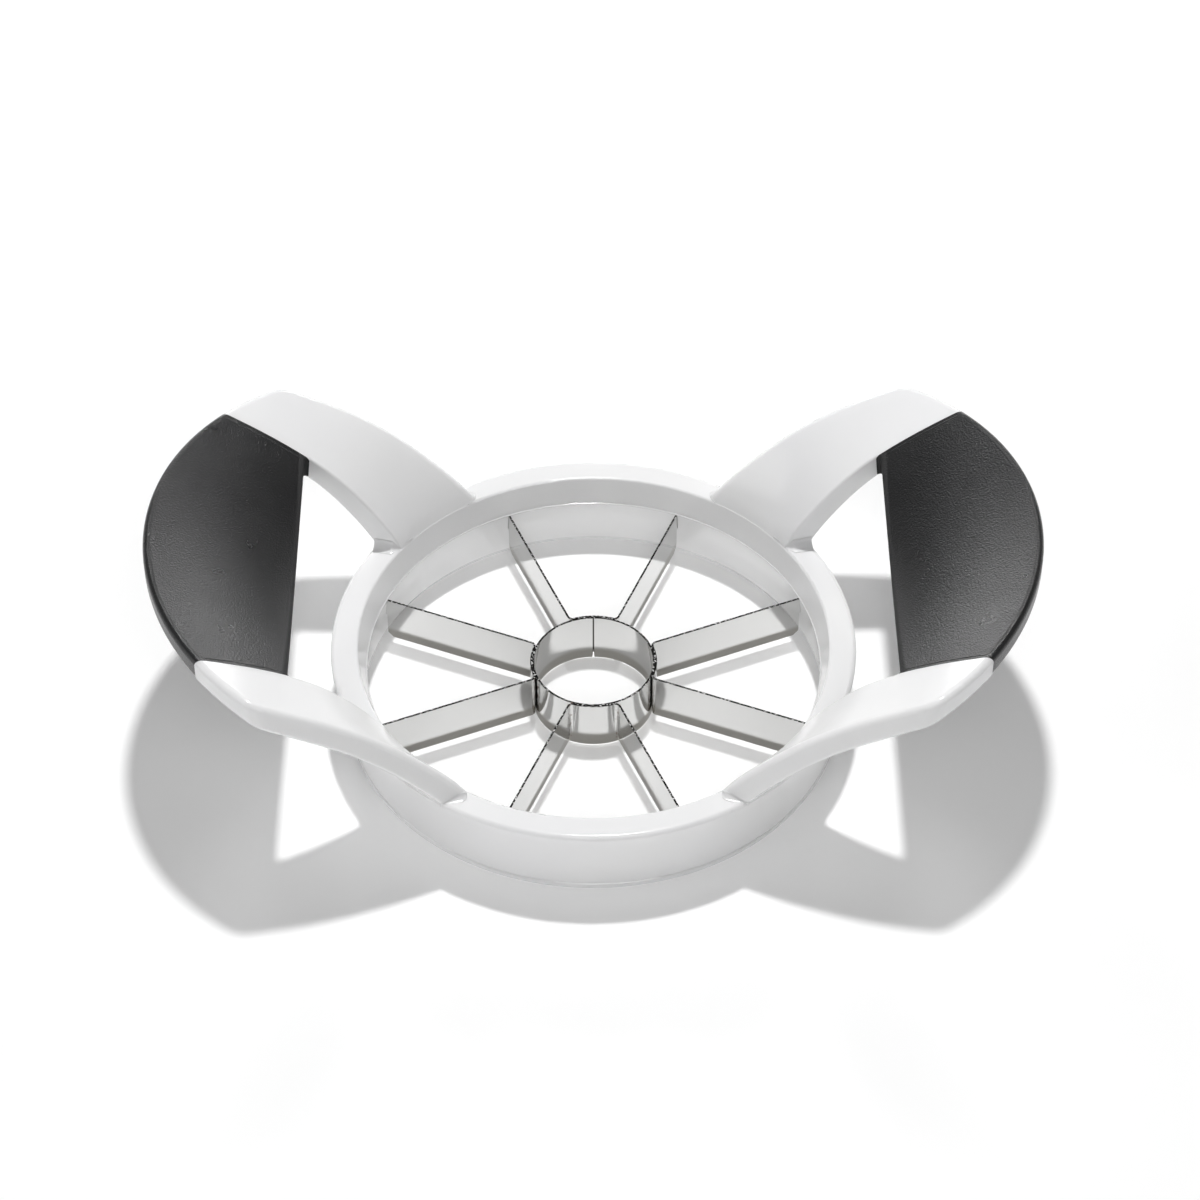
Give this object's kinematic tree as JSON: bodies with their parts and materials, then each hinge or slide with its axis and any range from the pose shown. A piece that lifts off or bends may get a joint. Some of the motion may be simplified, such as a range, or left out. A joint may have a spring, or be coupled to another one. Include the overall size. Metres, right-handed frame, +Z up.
{
  "type": "apple slicer",
  "caption": "Round apple slicer: a white ring with radial steel blades round a coring tube, and a raised looped handle with a soft dark grip on each side.",
  "frame": {"origin": "centre of the ring at the level of its foot", "axes": "+X from the ring's centre to the right-hand handle, +Y away from the user, +Z up along the ring's axis"},
  "size_m": [0.1716, 0.1034, 0.0492],
  "materials": {
    "white_plastic": "satin moulded",
    "soft_grip": "matt overmoulded elastomer",
    "blade_steel": "bright rolled strip"
  },
  "bodies": {
    "root": {"body": "white_plastic", "base_ring": "white_plastic", "left_grip": "soft_grip", "right_grip": "soft_grip", "core_ring": "blade_steel", "blade_right": "blade_steel", "blade_back": "blade_steel", "blade_left": "blade_steel", "blade_front": "blade_steel"}
  },
  "joints": []
}
